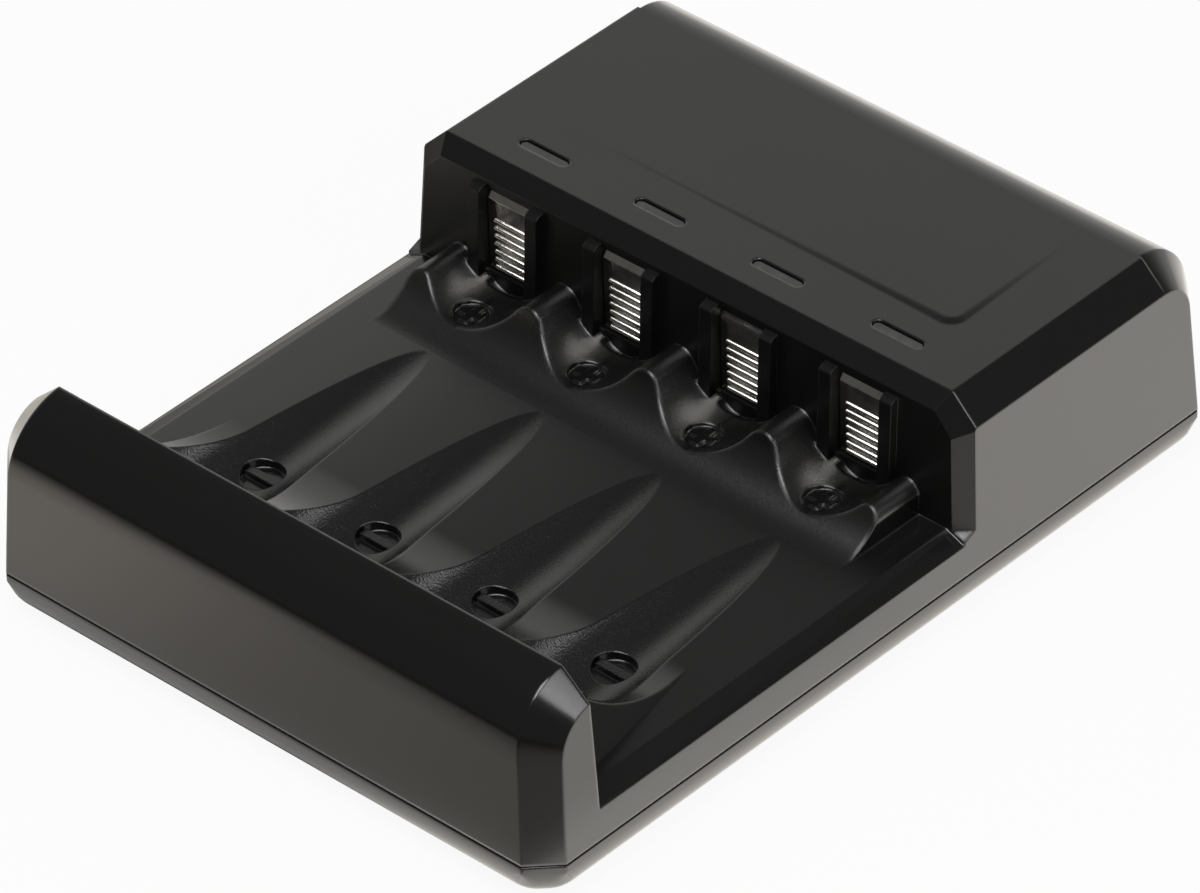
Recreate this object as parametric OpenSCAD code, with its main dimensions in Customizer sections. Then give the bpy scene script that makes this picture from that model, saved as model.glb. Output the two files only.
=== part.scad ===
// Four-slot desk charger for round cells of two sizes.
// Lengths are in millimetres. Y runs from the front wall to the rear, Z is up.
// Inside the modules y = 0 is the front edge and z = 0 is the parting line;
// placed() moves them to the frame, whose origin is under the middle.

/* [Body] */
// Width across the four slots, at the parting line
body_w = 76.6; // [76.6:0.2:84]
// Depth from front to rear, at the parting line
body_d = 101.7; // [99:0.1:112]
// Height of the lower housing
base_h = 5; // [4.6:0.1:7]
// Height of the upper housing above the parting line
top_h = 19.7; // [19.2:0.1:24]
// Draft of the outer faces, in degrees
draft = 3; // [1:0.5:4]
// Bevel that follows the side outline and the vertical corners
corner = 3.1; // [2:0.1:3.6]
// Radius of the rear top edge
crown_r = 6.8; // [5.6:0.1:7]
// Radius of the lower edges
base_r = 4; // [2.5:0.1:4.2]
// Thickness of the housings
wall = 1.8; // [1.5:0.1:2.2]
// Open line between the housings
parting_gap = 0.2; // [0.1:0.05:0.3]

/* [Front wall] */
// Thickness of the front wall at the deck
front_wall_t = 8.2; // [7.8:0.1:9.5]
// Height of the front wall's ridge above the parting line
front_wall_h = 19.5; // [18:0.1:22]
// Radius of the front wall's crown
ridge_r = 7.9; // [6.8:0.1:8]

/* [Bay] */
// Distance between slot centres
pitch = 16; // [15.8:0.1:16.4]
// Clear length from the front wall to the housing's face
bay_len = 54.1; // [53:0.1:57]
// Height of the deck above the parting line
deck_h = 4.7; // [4.4:0.1:5.6]
// Height of the deck's outer edge above the parting line
deck_edge_h = 3.65; // [3.2:0.05:4.2]
// Width of the sloped strip along the deck's sides
deck_edge_w = 2.4; // [1.6:0.1:3]

/* [Troughs] */
// Radius of the tilted troughs that take the cells
trough_r = 7.4; // [7.3:0.05:7.6]
// Depth of a trough below the deck, at the front wall
trough_drop = 3.13; // [2.6:0.01:3.3]
// Length of a trough from the front wall to its tip
trough_run = 41.8; // [36:0.1:43]
// Thickness under the troughs
trough_wall = 1.4; // [1.1:0.1:1.5]
// Radius of the ramp that climbs from the deck to the front wall
ramp_r = 23; // [21:0.5:27]
// Length of that ramp
ramp_run = 20.8; // [18:0.1:21]
// Width of the ramp's side beyond the slots, at the front wall
cheek_w = 2.78; // [2:0.01:3]
// Lean of the ramp's side from upright, in degrees
cheek_lean = 18.4; // [10:0.1:22]
// Turn of the ramp's side from the length of the deck, in degrees
cheek_turn = 10.3; // [6:0.1:14]

/* [Saddle] */
// Length of the saddle in front of the housing
saddle_run = 12; // [11:0.1:14]
// Radius of the saddle's front slope
saddle_r = 7; // [6:0.1:8]
// Height of the fins above the deck
fin_h = 5.3; // [4.5:0.1:5.6]
// Radius of the scoops between the fins
scoop_r = 7.6; // [7.5:0.05:7.8]
// Height of the scoops' floor above the deck
scoop_h = 1; // [0.8:0.05:1.4]
// Rounding of the outer fins
outer_fin_r = 1.5; // [1.2:0.1:1.8]
// Distance from the scoops' rear end to the housing's face
scoop_gap = 0.7; // [0.5:0.1:1]

/* [Face] */
// Bevel round the housing's face
face_bevel = 1.7; // [1.2:0.1:2]
// Clear width between the guide rails
window_w = 6.4; // [6:0.1:6.8]
// Height of the windows' top edge above the parting line
window_top = 16.9; // [16:0.1:17.2]
// Height of the windows' bottom edge above the deck
window_sill = 0.3; // [0.2:0.05:0.6]
// Width of a guide rail
rail_w = 1.6; // [1.2:0.1:1.8]
// How far the guide rails stand out of the face
rail_out = 1.05; // [0.8:0.05:1.3]
// Height that a guide rail's cap falls by
cap_drop = 0.5; // [0.3:0.05:0.8]
// Height of the windows' through openings above the deck
window_floor = 2.2; // [1.8:0.1:2.6]

/* [Top panel] */
// Width of the raised panel on the top
panel_w = 56; // [48:0.5:60]
// Distance of the panel's front edge from the housing's face
panel_y = 10.2; // [9:0.1:11]
// Height of the panel at its front edge
panel_rise = 0.3; // [0.1:0.05:0.4]
// Share of its rise that the panel loses towards its left end
panel_fade = 0.9; // [0:0.05:0.95]
// Width of the panel's sloped edge
panel_slope = 1.2; // [0.6:0.1:2]
// Corner radius of the panel
panel_r = 2.4; // [2.2:0.1:5]

/* [Marks] */
// Diameter of the round recesses for the minus marks
mark_d = 4.7; // [4:0.1:5]
// Depth of the recesses in the troughs
minus_depth = 0.7; // [0.4:0.05:0.8]
// Depth of the recesses in the scoops
plus_depth = 0.25; // [0.2:0.05:0.5]
// Diameter of the round recesses for the plus marks
plus_d = 4; // [3.6:0.1:4.4]
// Width of the bars of the marks
bar_w = 1.05; // [0.8:0.05:1.2]
// Distance of the minus marks from the front wall
minus_y = 17.55; // [17:0.1:20]
// Distance of the plus marks from the housing's face
plus_y = 5.4; // [5:0.1:6]

/* [Lights] */
// Length of a light slot
light_len = 6.6; // [5:0.1:7]
// Width of a light slot
light_w = 1.3; // [1:0.1:1.6]
// Distance of the light slots from the housing's face
light_y = 6.2; // [5.8:0.1:8]
// Depth of the light guides below the top face
light_sink = 0.2; // [0.1:0.05:0.5]

/* [Contacts] */
// Thickness of the contact sheet
sheet_t = 0.5; // [0.4:0.05:0.6]
// Width of a positive contact
plate_w = 6.2; // [5.6:0.1:6.3]
// Depth of a positive contact behind the housing's face
plate_back = 0.8; // [0.6:0.05:0.9]
// Distance between the ribs of a positive contact
rib_pitch = 0.98; // [0.9:0.02:1.1]
// Radius of those ribs
rib_r = 0.3; // [0.2:0.02:0.34]
// Number of those ribs
rib_count = 7; // [5:1:7]
// Height of the plain flat above those ribs
flat_h = 2.2; // [1.6:0.1:2.4]
// Height of the flange that leans back over the flat
flange_h = 1.2; // [0.8:0.1:1.4]
// Width of a negative spring
spring_w = 4.6; // [3.6:0.1:5]
// Distance of the negative springs' roots from the front wall
spring_y = 3.5; // [3.3:0.1:3.8]
// Reach of a negative spring's nose from its root
spring_reach = 7.4; // [7:0.1:7.8]
// Height of a negative spring's nose above its root
spring_rise = 4.1; // [3.9:0.1:4.6]
// Radius of the rolled root of a negative spring
root_r = 0.7; // [0.6:0.05:0.8]

/* [Board] */
// Thickness of the circuit board
board_t = 1.6; // [1.2:0.1:1.6]
// Depth of the board's top face below the parting line
board_sink = 0.4; // [0.35:0.05:0.6]
// Gap between the circuit board's side edges and the screw posts
board_gap = 0.1; // [0.1:0.05:1]
// Distance of the board's edges from the body's front and rear
board_inset = 4.4; // [4:0.1:6]
// Distance of the board screws from the body's rear
board_screw_end = 9; // [8:0.1:10]
// Distance of the board screws from the middle, across
board_screw_side = 24; // [22:0.1:25]
// Diameter of a board screw's thread
board_screw_d = 1.7; // [1.6:0.1:2]
// Side of the charge controller
controller_w = 7; // [5:0.1:7]
// Side of the power inductor
inductor_w = 6.6; // [5:0.1:7]
// Height of the power inductor
inductor_h = 3; // [2:0.1:4]
// Diameter of the input capacitors
can_d = 6.3; // [5:0.1:6.4]
// Height of the input capacitors
can_h = 7; // [5:0.1:8]
// Distance of the capacitors' and the inductor's middles from the body's rear
power_end = 12.2; // [11.6:0.1:13]
// Width of a charge transistor
transistor_w = 5; // [3:0.1:5.4]
// Length of a charge transistor
transistor_l = 3.9; // [3:0.1:4]
// Distance of the charge transistors from the housing's face
transistor_y = 8.2; // [7.8:0.1:8.8]

/* [Power inlet] */
// Width of the inlet's metal shell
inlet_w = 7.5; // [7:0.1:8.2]
// Height of the inlet's metal shell
inlet_h = 2.6; // [2.4:0.1:2.9]
// Depth of the inlet's metal shell
inlet_d = 5.6; // [5:0.1:7]
// Thickness of that shell
inlet_t = 0.3; // [0.25:0.05:0.4]

/* [Feet and screws] */
// Diameter of a rubber foot
foot_d = 9; // [7:0.5:9.5]
// How far the feet stand out of the lower housing
foot_out = 0.6; // [0.4:0.1:1]
// Depth of the feet's seats
foot_seat = 0.6; // [0.4:0.1:0.8]
// Distance of the feet from the body's sides
foot_side = 10.8; // [10.6:0.1:13]
// Distance of the feet from the body's front and rear
foot_end = 8.9; // [8.9:0.1:9.4]
// Distance of the case screws from the body's sides
screw_side = 4.9; // [4.7:0.1:5]
// Distance of the case screws from the body's front and rear
screw_end = 15.4; // [15.4:0.1:16.4]
// Diameter of a case screw's thread
screw_d = 2.4; // [2.2:0.1:2.6]
// Diameter of a case screw's head
head_d = 4.2; // [3.8:0.1:4.4]
// Height of a case screw's head
head_h = 1.5; // [1.2:0.1:1.6]
// Length of a case screw under its head
screw_len = 6; // [5:0.5:6]
// Diameter of the screw posts
post_d = 5.2; // [4.8:0.1:5.4]

/* [Hidden] */
$fn = 96;
SLOTS = 4;

half_w = body_w / 2;
lean = tan(draft);
clear = 0.1;
far = 200;
slots_w = SLOTS * pitch;
slot_x = [for (i = [0:SLOTS - 1]) (i - (SLOTS - 1) / 2) * pitch];

// The front wall and the two crowns
crown_z = front_wall_h - ridge_r;
crown_y = (ridge_r + crown_z * sin(draft)) / cos(draft);
rear_crown_z = top_h - crown_r;
rear_crown_y = body_d - (crown_r + rear_crown_z * sin(draft)) / cos(draft);
wall_y = front_wall_t;

// The housing's face and its outline
face_y = wall_y + bay_len;
shoulder_z = top_h - corner;
top_x = half_w - lean * shoulder_z - corner;

// The troughs, the saddle and what seats on them
trough_tilt = atan(trough_drop / trough_run);
trough_tip_y = wall_y + trough_run;
scoop_z = deck_h + scoop_h + scoop_r;
fin_top = deck_h + fin_h;
fin_r = (pow(pitch / 2, 2) + pow(scoop_z - fin_top, 2) - pow(scoop_r, 2))
    / (2 * (scoop_r - scoop_z + fin_top));
fin_z = fin_top - fin_r;
fin_tangent_z = fin_z + fin_r * (scoop_z - fin_z) / (scoop_r + fin_r);
outer_fin_x = slots_w / 2 - outer_fin_r;
outer_fin_z = scoop_z - sqrt(pow(scoop_r + outer_fin_r, 2)
    - pow(outer_fin_x - slot_x[SLOTS - 1], 2));
outer_tangent_x = outer_fin_x - outer_fin_r * (outer_fin_x - slot_x[SLOTS - 1])
    / (scoop_r + outer_fin_r);

// The contacts
board_top = -board_sink;
plate_y = face_y + plate_back;
flange_lean = 0.6;
rail_top = window_top + 0.4;
low_rib = deck_h + window_floor + rib_r;
plate_top = low_rib + (rib_count - 1) * rib_pitch + rib_r + flat_h;
spring_root = [wall_y + spring_y, board_top + root_r + clear / 2];
spring_slot_front = 1.1;
spring_slot_len = 4.6;

// The lip that joins the housings
lip_h = 1.2;
lip_t = wall / 2 - clear;

// The inlet
inlet_y = body_d - inlet_d - 0.4;
inlet_mouth = 0.5;

post_ease = 0.3;
foot_place = [half_w - foot_side, body_d / 2 - foot_end];
screw_place = [half_w - screw_side, body_d / 2 - screw_end];
board_w = body_w - 2 * (screw_side + post_d / 2 + post_ease + board_gap);
board_screw_place = [board_screw_side, body_d / 2 - board_screw_end];
board_post_d = 4;

// Moves a piece from the front edge and the parting line to the frame
module placed() {
    translate([0, -body_d / 2, foot_out + base_h]) children();
}

// Draws a side view (y, z) across the body
module across(width) {
    rotate([90, 0, 90]) linear_extrude(width, center = true) children();
}

// Draws a front view (x, z) from one depth to another
module along(from, to) {
    translate([0, to, 0]) rotate([90, 0, 0]) linear_extrude(to - from) children();
}

// Turns the z axis to a direction
module aimed(n) {
    rotate([0, acos(n.z / norm(n)), atan2(n.y, n.x)]) children();
}

// Everything beyond a plane through p with the outward direction n
module beyond(p, n) {
    translate(p) aimed(n) translate([-far / 2, -far / 2, 0]) cube([far, far, far / 2]);
}

module both_sides() {
    children();
    mirror([1, 0, 0]) children();
}

// Copies to the four corners, given at the right front one
module four_corners() {
    for (turn = [0, 1]) translate([0, body_d / 2, 0]) mirror([0, turn, 0])
        translate([0, -body_d / 2, 0]) both_sides() children();
}

module each_slot() {
    for (x = slot_x) translate([x, 0, 0]) children();
}

// The drafted block with its corners cut, shrunk by an inset
module core(inset, low, high) {
    x = half_w - inset;
    difference() {
        intersection() {
            along(0, body_d) polygon([[-x + lean * low, low], [x - lean * low, low],
                [x - lean * high, high], [-x + lean * high, high]]);
            across(far) polygon([[inset + lean * low, low], [body_d - inset - lean * low, low],
                [body_d - inset - lean * high, high], [inset + lean * high, high]]);
        }
        four_corners() beyond([half_w - corner - inset * sqrt(2), 0, 0], [1, -1, 2 * lean]);
    }
}

// Half of the housing's outline seen from the front, shrunk by an inset
function outline_half(inset) = let(sum = top_x + top_h - inset * sqrt(2),
    low_z = (sum - half_w + inset) / (1 - lean))
    [[half_w - inset, 0], [half_w - inset - lean * low_z, low_z],
    [sum - (top_h - inset), top_h - inset]];

module outline(inset) {
    half = outline_half(inset);
    polygon(concat(half, [for (i = [len(half) - 1:-1:0]) [-half[i].x, half[i].y]]));
}

// A bar across the body whose round edge carries the corner bevel
module crown(y, z, r) {
    intersection() {
        translate([0, y, z]) rotate([0, 90, 0]) cylinder(r = r, h = body_w, center = true);
        both_sides_meet() translate([half_w - lean * z, y, z]) aimed([-1, 0, -lean])
            cylinder(r1 = r - corner, r2 = r - corner + 1.5 * body_w, h = 1.5 * body_w);
    }
}

module both_sides_meet() {
    intersection() {
        children();
        mirror([1, 0, 0]) children();
    }
}

// The front wall: drafted below, rolled back to a ridge above
module front_wall() {
    inner = wall_y - lean * 0.3 * (front_wall_h - deck_h);
    intersection() {
        union() {
            core(0, 0, crown_z + ridge_r * sin(draft));
            intersection() {
                crown(crown_y, crown_z, ridge_r);
                across(far) translate([0, crown_z]) square([far, ridge_r + 1]);
            }
        }
        across(far) polygon([[-1, 0], [wall_y, 0], [wall_y, deck_h], [inner, front_wall_h + 1],
            [-1, front_wall_h + 1]]);
    }
}

// The base of the upper housing with the deck and its sloped edges
module deck() {
    difference() {
        core(0, 0, deck_h);
        both_sides() along(wall_y, face_y) polygon([[half_w + 1, deck_edge_h],
            [half_w - lean * deck_edge_h, deck_edge_h],
            [half_w - lean * deck_edge_h - deck_edge_w, deck_h],
            [half_w - deck_edge_w, deck_h + 1], [half_w + 1, deck_h + 1]]);
        both_sides() edge_end();
    }
}

// The facet that lifts the sloped strip to the housing's side
module edge_end() {
    inner = [half_w - lean * deck_h - face_bevel, face_y, deck_h];
    low = [half_w - lean * deck_edge_h, face_y - face_bevel / 2, deck_edge_h];
    high = [half_w - lean * deck_h, face_y + face_bevel, deck_h];
    intersection() {
        beyond(inner, cross(low - inner, high - inner));
        translate([inner.x, low.y, 0]) cube([face_bevel + 2, high.y - low.y, deck_h + 1]);
    }
}

// The rear housing, its face bevelled all round
module rear_block() {
    face_top_y = face_y + lean * (top_h - deck_h) + face_bevel;
    difference() {
        along(face_y - 1, rear_crown_y) outline(0);
        beyond([0, face_y, deck_h], [0, -1, lean]);
        beyond([0, face_top_y, top_h], [0, -1, 1]);
        both_sides() beyond([top_x, face_top_y, top_h], [1, -sqrt(2), 1]);
        both_sides() beyond([half_w - face_bevel, face_y - lean * deck_h, 0],
            [1, -1, 2 * lean]);
    }
    intersection() {
        union() {
            core(0, 0, rear_crown_z + crown_r * sin(draft));
            intersection() {
                crown(rear_crown_y, rear_crown_z, crown_r);
                across(far) translate([0, rear_crown_z]) square([far, crown_r + 1]);
            }
        }
        across(far) translate([rear_crown_y, 0]) square([far, far]);
    }
}

// The ramp that climbs to the front wall, before the troughs are cut
module ramp() {
    difference() {
        across(slots_w + 2 * cheek_w) difference() {
            translate([wall_y - 1, deck_h - 1])
                square([ramp_run + 1, front_wall_h - deck_h - 0.4]);
            translate([wall_y + ramp_run, deck_h + ramp_r]) circle(ramp_r, $fn = 180);
        }
        both_sides() translate([slots_w / 2 + cheek_w, wall_y, deck_h])
            rotate([0, -cheek_lean, cheek_turn]) translate([0, -far / 2, -far / 2]) cube(far);
    }
}

// A raised panel with softly sloped edges, sinking into the top towards the rear
module top_panel() {
    y = face_y + panel_y;
    run = rear_crown_y - y;
    x = panel_w / 2;
    rise = [for (step = [[0, 0], [0.22, 0.08], [0.4, 0.32], [0.6, 0.68], [0.78, 0.92], [1, 1]])
        [step.x * panel_slope, step.y * panel_rise]];
    last = len(rise) - 1;
    tilt = [-atan(panel_rise / run), -atan(panel_fade * panel_rise / panel_w), 0];
    translate([x, y, top_h]) rotate(tilt) translate([-x, 0, 0]) {
        across(panel_w - 2 * panel_r) polygon(concat([[0, -panel_rise]], rise,
            [[run, panel_rise], [run, -panel_rise]]));
        along(panel_r, run) polygon(concat([[x, -panel_rise]],
            [for (p = rise) [x - p.x, p.y]], [for (i = [last:-1:0]) [rise[i].x - x, rise[i].y]],
            [[-x, -panel_rise]]));
        both_sides() translate([x - panel_r, panel_r, 0]) {
            for (i = [0:last - 1]) translate([0, 0, rise[i].y])
                cylinder(r1 = panel_r - rise[i].x, r2 = panel_r - rise[i + 1].x,
                    h = rise[i + 1].y - rise[i].y);
            translate([0, 0, -panel_rise]) cylinder(r = panel_r, h = panel_rise);
        }
    }
}

// One trough with the open space over it, widened for its wall
module trough(grow) {
    translate([0, trough_tip_y, deck_h]) rotate([90 + trough_tilt, 0, 0])
        translate([0, trough_r, 0]) {
            cylinder(r = trough_r + grow, h = trough_run + 1);
            if (grow == 0) translate([-trough_r, 0, 0])
                cube([2 * trough_r, 2 * ramp_r, trough_run + 1]);
        }
}

module troughs() {
    intersection() {
        each_slot() trough(0);
        across(far) polygon([[wall_y, -1], [wall_y, deck_h],
            [wall_y - lean * 0.3 * (front_wall_h - deck_h), front_wall_h], [far, front_wall_h],
            [far, -1]]);
    }
}

// Scoops and rounded fins seen from the front
module saddle_section() {
    intersection() {
        union() {
            difference() {
                translate([-slots_w / 2, deck_h - 1])
                    square([slots_w, fin_tangent_z - deck_h + 1]);
                for (x = slot_x) translate([x, scoop_z]) circle(scoop_r);
                for (side = [-1, 1]) translate([side * (outer_tangent_x + slots_w / 2), 0])
                    translate([-slots_w / 2, outer_fin_z]) square([slots_w, far]);
            }
            for (i = [0:SLOTS - 2]) translate([slot_x[i] + pitch / 2, fin_z]) circle(fin_r);
            for (side = [-1, 1]) translate([side * outer_fin_x, outer_fin_z])
                circle(outer_fin_r);
        }
        translate([-slots_w / 2, deck_h - 1]) square([slots_w, fin_h + 1]);
    }
}

module saddle() {
    intersection() {
        along(face_y - saddle_run, face_y + wall) saddle_section();
        across(far) difference() {
            translate([face_y - saddle_run, deck_h - 1]) square([saddle_run + 1, fin_h + 1]);
            translate([face_y - saddle_run, deck_h + saddle_r]) circle(saddle_r);
            translate([face_y - saddle_run - 1, deck_h])
                square([1, fin_h]);
        }
    }
}

// A pair of guide rails that keep a cell's flat end off the contact
module rails() {
    both_sides() translate([window_w / 2 + rail_w / 2, 0, 0]) across(rail_w)
        polygon([[face_y + 1, deck_h], [face_y - rail_out, deck_h],
            [face_y - rail_out + lean * (window_top - deck_h), rail_top - cap_drop],
            [face_y - rail_out * 0.6 + lean * (window_top - deck_h), rail_top - cap_drop * 0.3],
            [face_y + lean * (window_top - deck_h), rail_top], [face_y + 1, rail_top]]);
}

// The opening for a positive contact, the seat under it and the slot for its tail
module window() {
    sill = deck_h + window_sill;
    floor_z = deck_h + window_floor - clear;
    round = window_w / 2;
    along(face_y - scoop_gap, plate_y - plate_back * 0.6) {
        translate([-window_w / 2, sill + round])
            square([window_w, window_top - sill - round]);
        translate([0, sill + round]) circle(round);
    }
    along(face_y, plate_y + sheet_t) translate([-window_w / 2, floor_z])
        square([window_w, window_top - floor_z]);
    translate([-window_w / 2, plate_y, plate_top - clear])
        cube([window_w, flange_h * flange_lean + sheet_t + clear, window_top - plate_top + clear]);
    translate([-window_w / 2, plate_y - clear, -1])
        cube([window_w, sheet_t + 2 * clear, floor_z + 2]);
}

module upper_hollow() {
    difference() {
        core(wall, -1, deck_h - wall);
        each_slot() trough(trough_wall);
    }
    across(body_w - 2 * (corner + wall)) intersection() {
        union() {
            translate([wall, -1]) square([front_wall_t, crown_z + 1]);
            translate([crown_y, crown_z]) circle(ridge_r - wall);
        }
        translate([wall + lean * crown_z, -1])
            square([wall_y - 2 * wall - lean * crown_z, front_wall_h]);
    }
    difference() {
        along(face_y, rear_crown_y + 1) outline(wall);
        beyond([0, plate_y + sheet_t + wall / 2, deck_h], [0, -1, lean]);
    }
    across(body_w - 2 * (corner + wall)) {
        translate([rear_crown_y, rear_crown_z]) circle(crown_r - wall);
        translate([rear_crown_y, -1]) square([crown_r - wall, rear_crown_z + 1]);
    }
}

// The ring that the lower housing's lip fits in
module lip_ring(inner, outer, low, high) {
    difference() {
        core(outer, low, high);
        core(inner, low - 1, high + 1);
    }
}

module inlet_outline(grow) {
    w = inlet_w / 2 + grow;
    low = board_top - grow;
    high = board_top + inlet_h + grow;
    bevel = inlet_h * 0.3;
    polygon([[-w + bevel, low], [w - bevel, low], [w, low + bevel], [w, high], [-w, high],
        [-w, low + bevel]]);
}

module inlet_cut() {
    along(inlet_y - 1, body_d + 1) inlet_outline(inlet_mouth);
}

module minus_mark() {
    y = wall_y + minus_y;
    floor_z = deck_h - (trough_tip_y - y) * tan(trough_tilt);
    translate([0, y, floor_z - minus_depth]) difference() {
        cylinder(d = mark_d, h = far);
        cube([mark_d - 0.5, bar_w, 2 * (minus_depth - clear / 2)], center = true);
    }
}

module plus_mark() {
    translate([0, face_y - plus_y, deck_h + scoop_h - plus_depth]) difference() {
        cylinder(d = plus_d, h = far);
        for (turn = [0, 90]) rotate([0, 0, turn])
            cube([plus_d - 0.9, bar_w, 2 * (plus_depth - clear / 2)], center = true);
    }
}

module light_slot(grow, low, high) {
    translate([0, face_y + light_y, low]) linear_extrude(high - low) {
        square([light_len - light_w, light_w + 2 * grow], center = true);
        for (side = [-1, 1]) translate([side * (light_len - light_w) / 2, 0])
            circle(light_w / 2 + grow);
    }
}

module screw_posts() {
    four_corners() translate([screw_place.x, screw_end, 0])
        cylinder(d = post_d, h = deck_h - 0.8);
    both_sides() translate([screw_place.x, body_d - screw_end, 0])
        cylinder(d = post_d, h = shoulder_z - 1);
}

// The upper housing: front wall, deck with its cradles, and rear housing
module upper_housing() {
    color("#2b2b2d") difference() {
        union() {
            difference() {
                union() {
                    deck();
                    front_wall();
                    rear_block();
                    top_panel();
                    ramp();
                    saddle();
                    each_slot() rails();
                }
                upper_hollow();
                lip_ring(wall + clear, wall - lip_t - clear, -1, lip_h + clear);
            }
            intersection() {
                screw_posts();
                core(wall / 2, 0, top_h);
            }
        }
        troughs();
        each_slot() window();
        each_slot() minus_mark();
        each_slot() plus_mark();
        each_slot() light_slot(0, top_h - 2 * wall, top_h + 1);
        each_slot() translate([-spring_w / 2 - 0.4, wall_y + spring_slot_front, -1])
            cube([spring_w + 0.8, spring_slot_len, deck_h + 1]);
        four_corners() translate([screw_place.x, screw_end, -1])
            cylinder(d = screw_d - 0.4, h = screw_len - base_h / 2 + 2);
        inlet_cut();
    }
}

// The octagon of the parting line, shrunk by an inset
function octagon(inset) = let(x = half_w - inset, y = body_d / 2 - inset,
    leg = corner - inset * (2 - sqrt(2)))
    [[x, -y + leg], [x, y - leg], [x - leg, y], [-x + leg, y], [-x, y - leg], [-x, -y + leg],
    [-x + leg, -y], [x - leg, -y]];

module base_form() {
    translate([0, body_d / 2, 0]) intersection() {
        hull() {
            translate([0, 0, base_r - base_h]) linear_extrude(base_h - base_r)
                polygon(octagon(0));
            for (p = octagon(base_r)) translate([p.x, p.y, base_r - base_h])
                sphere(base_r, $fn = 32);
        }
        translate([-far / 2, -far / 2, -far - parting_gap]) cube(far);
    }
}

// The lower housing: a tray with a lip, screw posts and seats for the feet
module lower_housing() {
    inside = lip_h + clear;
    color("#2b2b2d") difference() {
        union() {
            difference() {
                base_form();
                translate([0, body_d / 2, wall - base_h]) linear_extrude(base_h)
                    polygon(octagon(wall));
            }
            difference() {
                translate([0, body_d / 2, -wall]) linear_extrude(wall + lip_h)
                    polygon(octagon(wall - lip_t));
                translate([0, body_d / 2, -base_h]) linear_extrude(2 * base_h)
                    polygon(octagon(wall));
                along(body_d / 2, body_d + 1) translate([-inlet_w / 2 - 1.5, -inside])
                    square([inlet_w + 3, 2 * inside]);
            }
            four_corners() translate([screw_place.x, screw_end, wall / 2 - base_h])
                cylinder(d = post_d + 2 * post_ease, h = base_h - wall / 2);
            four_corners() translate([board_w / 2 - board_post_d,
                board_inset + 3, wall / 2 - base_h])
                cylinder(d = board_post_d, h = board_top - board_t + base_h - wall / 2);
            both_sides() translate([board_screw_place.x, body_d / 2 + board_screw_place.y,
                wall / 2 - base_h])
                cylinder(d = board_post_d, h = board_top - board_t + base_h - wall / 2);
        }
        four_corners() translate([screw_place.x, screw_end, -base_h - 1]) {
            cylinder(d = screw_d + 0.4, h = base_h + 2);
            cylinder(d = head_d + 0.6, h = 1 + base_h / 2);
        }
        four_corners() translate([foot_place.x, foot_end, -base_h - 1])
            cylinder(d = foot_d + 2 * clear, h = 1 + foot_seat);
        both_sides() translate([board_screw_place.x, body_d / 2 + board_screw_place.y, -3])
            cylinder(d = board_screw_d + clear, h = 3);
        inlet_cut();
    }
}

module foot(side, end) {
    color("#1c1c1e") translate([side * foot_place.x, body_d / 2 + end * foot_place.y,
        -base_h - foot_out]) {
        cylinder(d1 = foot_d - 0.6, d2 = foot_d, h = 0.3);
        translate([0, 0, 0.3]) cylinder(d = foot_d, h = foot_out + foot_seat - 0.3);
    }
}

// One pan-head screw standing on its head, its slot cut as a cross
module screw(d, len, head, head_height) {
    difference() {
        union() {
            cylinder(d = d, h = head_height + len);
            cylinder(d1 = head - 0.8, d2 = head, h = 0.4);
            translate([0, 0, 0.4]) cylinder(d = head, h = head_height - 0.4);
        }
        for (turn = [0, 90]) rotate([0, 0, turn])
            cube([head * 0.55, head * 0.14, head_height], center = true);
    }
}

module case_screws() {
    color("#8c8c90") four_corners() translate([screw_place.x, screw_end, -base_h / 2 - head_h])
        screw(screw_d - 0.5, screw_len, head_d, head_h);
}

module board_screws() {
    color("#b0b0b4") both_sides()
        translate([board_screw_place.x, body_d / 2 + board_screw_place.y, board_top + 1.1])
            mirror([0, 0, 1]) screw(board_screw_d, board_t + 0.6, 2 * board_screw_d, 1.1);
}

module main_board() {
    color("#1f5a3a") translate([0, 0, board_top - board_t]) difference() {
        linear_extrude(board_t) difference() {
            translate([-board_w / 2, board_inset])
                square([board_w, body_d - 2 * board_inset]);
            for (x = slot_x) translate([x - plate_w / 2 - clear, plate_y - clear])
                square([plate_w + 2 * clear, sheet_t + 2 * clear]);
        }
        both_sides() translate([board_screw_place.x, body_d / 2 + board_screw_place.y, -1])
            cylinder(d = board_screw_d + 0.4, h = board_t + 2);
    }
}

module inlet_shell() {
    color("#c4c6c8") difference() {
        along(inlet_y, inlet_y + inlet_d) inlet_outline(0);
        along(inlet_y + inlet_t, body_d + 1) inlet_outline(-inlet_t);
    }
}

module inlet_tongue() {
    color("#18181a") translate([-inlet_w * 0.23, inlet_y + inlet_t, board_top + inlet_h * 0.55])
        cube([inlet_w * 0.46, inlet_d - 1.2, inlet_h * 0.24]);
    color("#18181a") translate([-inlet_w * 0.32, inlet_y + inlet_t, board_top + inlet_t])
        cube([inlet_w * 0.64, 1, inlet_h - 2 * inlet_t]);
}

module charge_controller() {
    pins = 8;
    step = controller_w / (pins + 0.5);
    color("#202022") translate([-controller_w / 2, face_y + transistor_y + transistor_l + 1.8,
        board_top]) {
        translate([0, 0, 0.1]) cube([controller_w, controller_w, 1]);
        for (i = [0:pins - 1]) translate([(i + 0.6) * step, -0.8, 0])
            cube([step * 0.4, controller_w + 1.6, 0.2]);
    }
}

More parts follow.
